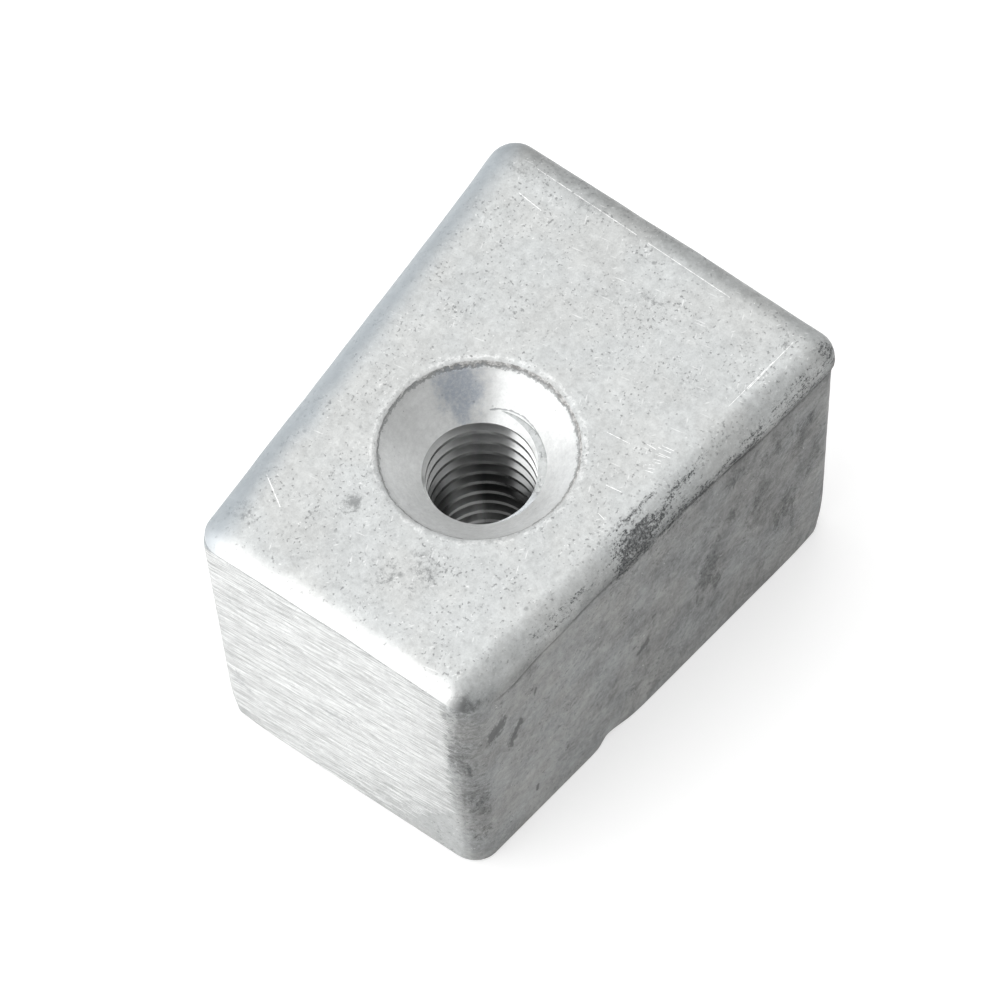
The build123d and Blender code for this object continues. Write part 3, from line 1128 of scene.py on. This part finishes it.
def machined_metal(hole, tint):
    """The cone's turned surface, with a torn, dirty band at its rim."""
    make = Finish("machined_metal", tint)
    x, y = make.axes()[0:2]
    flat = make.node("ShaderNodeCombineXYZ", {0: x, 1: y}).outputs[0]
    radius = make.measure("LENGTH", flat)
    turning = {0: make.product(radius, 9.0), 1: make.product(x, 0.25), 2: make.product(y, 0.25)}
    rings = make.noise(make.node("ShaderNodeCombineXYZ", turning).outputs[0], 1.0, 3, 0.6)
    cloud, grit = make.texture("cone cloud"), make.texture("cone grit")

    metal, stain = Vector(tint.machined), Vector(tint.stain)
    tone = make.line(rings, 0.45, make.line(cloud, 0.5, make.line(grit, 0.5, -0.22)), clamp=True)
    colour_now = make.tint(tone, metal * 0.84, metal * 1.1)
    colour_now = make.scaled(colour_now, make.varied(1.0, make.texture("cone mottle"), 0.5))
    heat = make.ragged(make.measure("DISTANCE", flat, HEAT_TINT_PLACE), make.texture("heat edge"), 3.0)
    heat_gaps = make.ramp(make.texture("heat gaps"), 0.30, 0.62, 0.45, 1.0)
    heat = make.product(make.ramp(heat, 1.9, 0.7), heat_gaps, 0.75)
    colour_now = make.tint(heat, colour_now, HEAT_TINT)
    colour_now = make.tint(make.product(make.specks(make.place, 0.5, 0.2, 0.07), 0.4), colour_now, stain)

    rim = (hole.sink_radius - hole.rim_width) / MM
    facing = make.math("DIVIDE", make.measure("DOT_PRODUCT", flat, RIM_DIRT_SIDE), radius)
    wander = make.line(make.texture("band wander"), 0.7, -0.35)
    wander = make.math("SUBTRACT", wander, make.ramp(facing, 0.3, -0.6, 0.0, 0.12))
    wandering = make.math("ADD", radius, wander)
    band = make.ramp(wandering, rim, rim + 0.08)
    band_tone = make.ramp(make.texture("band tone"), 0.36, 0.60)
    band_colour = make.tint(band_tone, BAND_DIRT, BAND_METAL)
    band_colour = make.tint(make.ramp(facing, -0.7, 0.6, 0.15, 1.0), BAND_CLEAN, band_colour)
    burr = make.ramp(make.texture("band burr"), 0.60, 0.66)
    band_colour = make.tint(make.product(burr, 0.8), band_colour, BAND_BURR)
    inner_gap = make.math("ABSOLUTE", make.math("SUBTRACT", wandering, rim))
    inner_line = make.product(make.ramp(inner_gap, 0.09, 0.03), 0.5)
    colour_now = make.tint(band, colour_now, band_colour)
    colour_now = make.tint(inner_line, colour_now, stain)
    runout = make.product(make.strokes(make.place, runout_burr(hole)), 0.72)
    colour_now = make.tint(runout, colour_now, stain * 1.6)

    make.feed(make.shader["Metallic"], 0.35)
    relief = make.line(rings, 0.0022, make.line(grit, 0.0015, make.product(cloud, 0.012)))
    relief = make.line(make.product(band, band_tone), 0.05, relief)
    relief = make.line(inner_line, -0.04, relief)
    return make.finished(colour_now, make.blend(band, make.line(cloud, 0.14, 0.26), 0.6), relief, 0.8)


def cut_thread(hole, tint):
    """The tap's bright flanks, with painted shade: darker towards the groove's root, and near black in the
    depths of the bore.
    """
    make = Finish("cut_thread", tint)
    x, y, z = make.axes()
    flat = make.node("ShaderNodeCombineXYZ", {0: x, 1: y}).outputs[0]
    middle = 0.5 * (hole.crest_radius + hole.root_radius) / MM
    deep = make.ramp(make.measure("LENGTH", flat), middle, hole.root_radius / MM)
    grit, drag = make.texture("thread grit"), make.drawn_out("drag")
    metal = Vector(tint.machined)
    tone = make.line(grit, 0.7, make.line(drag, 0.7, -0.2), clamp=True)
    colour_now = make.tint(tone, metal * 0.74, metal * 1.05)
    # Painted shade: the colour darkens towards the groove's root.
    colour_now = make.tint(make.product(deep, 0.6), colour_now, tint.stain)
    aside = make.measure("DOT_PRODUCT", flat, THREAD_DULL_SIDE)
    dull = make.product(make.ramp(aside, -0.2, 0.9), make.ramp(aside, 2.7, 1.4))
    # Painted shade: the bore grows near black towards its foot, less so on the dull side.
    deep_shade = make.product(make.ramp(z, 18.0, 11.0), make.blend(dull, 0.88, 0.25))
    colour_now = make.tint(deep_shade, colour_now, DEEP_SHADE_COLOUR)
    make.feed(make.shader["Metallic"], make.blend(dull, 0.66, 0.38))
    relief = make.line(drag, 0.002, make.product(grit, 0.0012))
    return make.finished(colour_now, make.line(grit, 0.10, make.blend(dull, 0.12, 0.17)), relief, 0.7)


def floor_paint(tint):
    """Matt pale paint with the faintest unevenness, lit a little from below as a light table is."""
    make = Finish("floor_paint", tint)
    pale = Vector(tint.floor)
    make.feed(make.shader["Base Color"], make.tint(make.noise(make.place, 0.03, 2), pale * 0.995, pale))
    make.feed(make.shader["Roughness"], 0.8)
    make.feed(make.shader["Specular IOR Level"], 0.1)
    make.feed(make.shader["Emission Color"], (1.0, 1.0, 1.0, 1.0))
    make.feed(make.shader["Emission Strength"], 0.60)
    return make.material


def carry(mesh, name, values):
    """Stores one number for each point of a mesh."""
    mesh.attributes.new(name, "FLOAT", "POINT").data.foreach_set("value", values)


def heaviest(across, up, marks):
    """The heaviest of the marks at one place of a face."""
    weights = [0.0]
    for centre_across, centre_up, half_length, half_width, turn, weight in marks:
        offset = Vector((across - centre_across, up - centre_up))
        offset.rotate(Matrix.Rotation(-math.radians(turn), 2))
        spread = (offset.x / half_length) ** 2 + (offset.y / half_width) ** 2
        weights.append(weight * math.exp(-0.7 * spread))
    return max(weights)


def stain_at(point):
    """How heavily a point of the skin is stained, from the marks that lie on its side."""
    x, y, z = (value / MM for value in point)
    top = heaviest(x, y, TOP_STAINS) * faded(z, 20.3, 21.2)
    side = heaviest(x, z, SIDE_STAINS) * faded(y, -7.8, -9.0)
    end = heaviest(y, z, END_STAINS) * faded(x, -11.5, -12.5)
    return max(top, side, end)


def smear_at(point):
    """How heavily a point is smeared, along the long side's top edge."""
    x, y, z = (value / MM for value in point)
    return heaviest(x, y, SMEARS) * faded(z, 19.6, 20.4) * faded(y, -8.0, -9.0)


def blotch_at(point):
    """How heavily a point of the long side is blotched."""
    x, y, z = (value / MM for value in point)
    return heaviest(x, z, BLOTCHES) * faded(y, -7.8, -9.0) * faded(z, 21.4, 20.8)


class ANODE_OT_casting(bpy.types.Operator):
    """Casts, grinds, countersinks and taps the block as one closed piece."""

    bl_idname = "anode.casting"
    bl_label = "Cast and tap the block"

    def execute(self, context):
        scene = context.scene
        size, hole, tint = scene.anode_block, scene.anode_hole, scene.anode_finish
        casting = Casting(size, hole, columns=432)
        casting.base(rows=8)
        casting.walls(rows=44)
        casting.parting_line()
        casting.crown(rows=20)
        casting.top(rows=30)
        casting.countersink(rows=14)
        casting.finishes[-1] = THREADED
        skin_from = hole.sink_radius * 1.2
        for ring in casting.rings:
            ring[:] = [worn(point, size) if point.length > skin_from else point for point in ring]
        piece = bpy.data.objects.new(PIECE, casting.mesh(PIECE))
        context.collection.objects.link(piece)
        finishes = CastSkin(size, tint).made(), machined_metal(hole, tint), cut_thread(hole, tint)
        for finish in finishes:
            piece.data.materials.append(finish)
        cone_foot = size.height - (hole.sink_radius - hole.crest_radius)
        apply_tree(
            piece,
            tapped_hole_tree(),
            {
                "Pitch": hole.pitch,
                "Crest radius": hole.crest_radius,
                "Root radius": hole.root_radius,
                "Bore length": cone_foot,
                "First turn": cone_foot + 0.7 * MM,
                "Start angle": hole.start_angle,
                "Thread metal": finishes[THREADED],
            },
        )
        points = [vertex.co for vertex in piece.data.vertices]
        carry(piece.data, "parting", [above_parting(point, size) / MM for point in points])
        for name, weight_at in (("stain", stain_at), ("smear", smear_at), ("blotch", blotch_at)):
            carry(piece.data, name, [weight_at(point) for point in points])
        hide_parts(NODE)
        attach(piece, BODY)
        return {"FINISHED"}


HALF_FLOOR = 0.6
# Soft boxes as name, direction from the block, distance, and width and height, in metres.
SOFT_BOXES = (
    ("key", (-0.757, 0.46, 0.464), 0.50, (1.0, 0.52)),
    ("overhead", (0.12, 0.20, 1.0), 0.45, (0.40, 0.36)),
    ("fill", (0.95, -0.25, 0.17), 0.50, (0.30, 0.24)),
    ("side", (0.46, -0.60, 0.66), 0.50, (0.66, 0.28)),
)


def standing(location, right, up, back):
    """A matrix that stands at a place with its axes turned to three directions."""
    return Matrix.Translation(location) @ Matrix((right, up, back)).transposed().to_4x4()


def aimed(location, target):
    """A matrix that stands at a place and looks at another."""
    back = (location - target).normalized()
    right = Vector((0, 0, 1)).cross(back).normalized()
    return standing(location, right, back.cross(right), back)


def soft_box(name, direction, distance, sides, power, target):
    """An area light that faces the block, with its width and height."""
    lamp = bpy.data.lights.new(name, "AREA")
    lamp.shape = "RECTANGLE"
    lamp.size, lamp.size_y = sides
    lamp.energy = power
    thing = bpy.data.objects.new(name, lamp)
    thing.matrix_world = aimed(target + Vector(direction).normalized() * distance, target)
    bpy.context.collection.objects.link(thing)


class ANODE_OT_stage(bpy.types.Operator):
    """Lays the floor, hangs the lights and stands the camera at the photographed viewpoint."""

    bl_idname = "anode.stage"
    bl_label = "Set the stage"

    def execute(self, context):
        scene = context.scene
        stage, tint, size = scene.anode_stage, scene.anode_finish, scene.anode_block
        middle = Vector((0.0, 0.0, size.height / 2))

        floor_mesh = bpy.data.meshes.new("floor")
        corners = [(-HALF_FLOOR, -HALF_FLOOR, 0), (HALF_FLOOR, -HALF_FLOOR, 0)]
        corners += [(HALF_FLOOR, HALF_FLOOR, 0), (-HALF_FLOOR, HALF_FLOOR, 0)]
        floor_mesh.from_pydata(corners, [], [(0, 1, 2, 3)])
        floor = bpy.data.objects.new("floor", floor_mesh)
        floor_mesh.materials.append(floor_paint(tint))
        context.collection.objects.link(floor)

        powers = stage.key_power, stage.top_power, stage.fill_power, stage.side_power
        for (name, direction, distance, sides), power in zip(SOFT_BOXES, powers):
            soft_box(name, direction, distance, sides, power, middle)

        world = bpy.data.worlds.new("room")
        world.use_nodes = True
        room = world.node_tree.nodes["Background"].inputs
        room["Color"].default_value = (0.96, 0.98, 1.0, 1.0)
        room["Strength"].default_value = stage.room_light
        scene.world = world
        scene.view_settings.view_transform = "Standard"

        back = Vector((
            math.sin(stage.azimuth) * math.cos(stage.elevation),
            -math.cos(stage.azimuth) * math.cos(stage.elevation),
            math.sin(stage.elevation),
        ))
        level = Vector((0, 0, 1)).cross(back).normalized()
        rise = back.cross(level)
        right = level * math.cos(stage.roll) + rise * math.sin(stage.roll)
        up = rise * math.cos(stage.roll) - level * math.sin(stage.roll)
        lens = bpy.data.cameras.new("camera")
        lens.lens = stage.lens
        lens.sensor_width = 36.0
        lens.clip_start = 10 * MM
        camera = bpy.data.objects.new("camera", lens)
        place = middle + back * stage.distance + right * stage.shift_right + up * stage.shift_up
        camera.matrix_world = standing(place, right, up, back)
        context.collection.objects.link(camera)
        scene.camera = camera
        return {"FINISHED"}


GROUPS = {
    "anode_block": AnodeBlockSizes,
    "anode_hole": AnodeHoleSizes,
    "anode_finish": AnodeFinishColours,
    "anode_stage": AnodeStageSettings,
}


class ANODE_PT_sidebar(bpy.types.Panel):
    """Sizes, colours and the two operators, in the 3D view's sidebar."""

    bl_label = "Block anode"
    bl_idname = "ANODE_PT_sidebar"
    bl_space_type = "VIEW_3D"
    bl_region_type = "UI"
    bl_category = "Anode"

    def draw(self, context):
        for name, group in GROUPS.items():
            box = self.layout.box()
            for setting in group.__annotations__:
                box.prop(getattr(context.scene, name), setting)
        self.layout.operator(ANODE_OT_casting.bl_idname)
        self.layout.operator(ANODE_OT_stage.bl_idname)


CLASSES = (*GROUPS.values(), ANODE_OT_casting, ANODE_OT_stage, ANODE_PT_sidebar)


def register():
    for each in CLASSES:
        bpy.utils.register_class(each)
    for name, group in GROUPS.items():
        setattr(bpy.types.Scene, name, bpy.props.PointerProperty(type=group))


def unregister():
    for name in GROUPS:
        delattr(bpy.types.Scene, name)
    for each in reversed(CLASSES):
        bpy.utils.unregister_class(each)


def main():
    register()
    bpy.ops.anode.casting()
    bpy.ops.anode.stage()


if __name__ == "__main__":
    main()
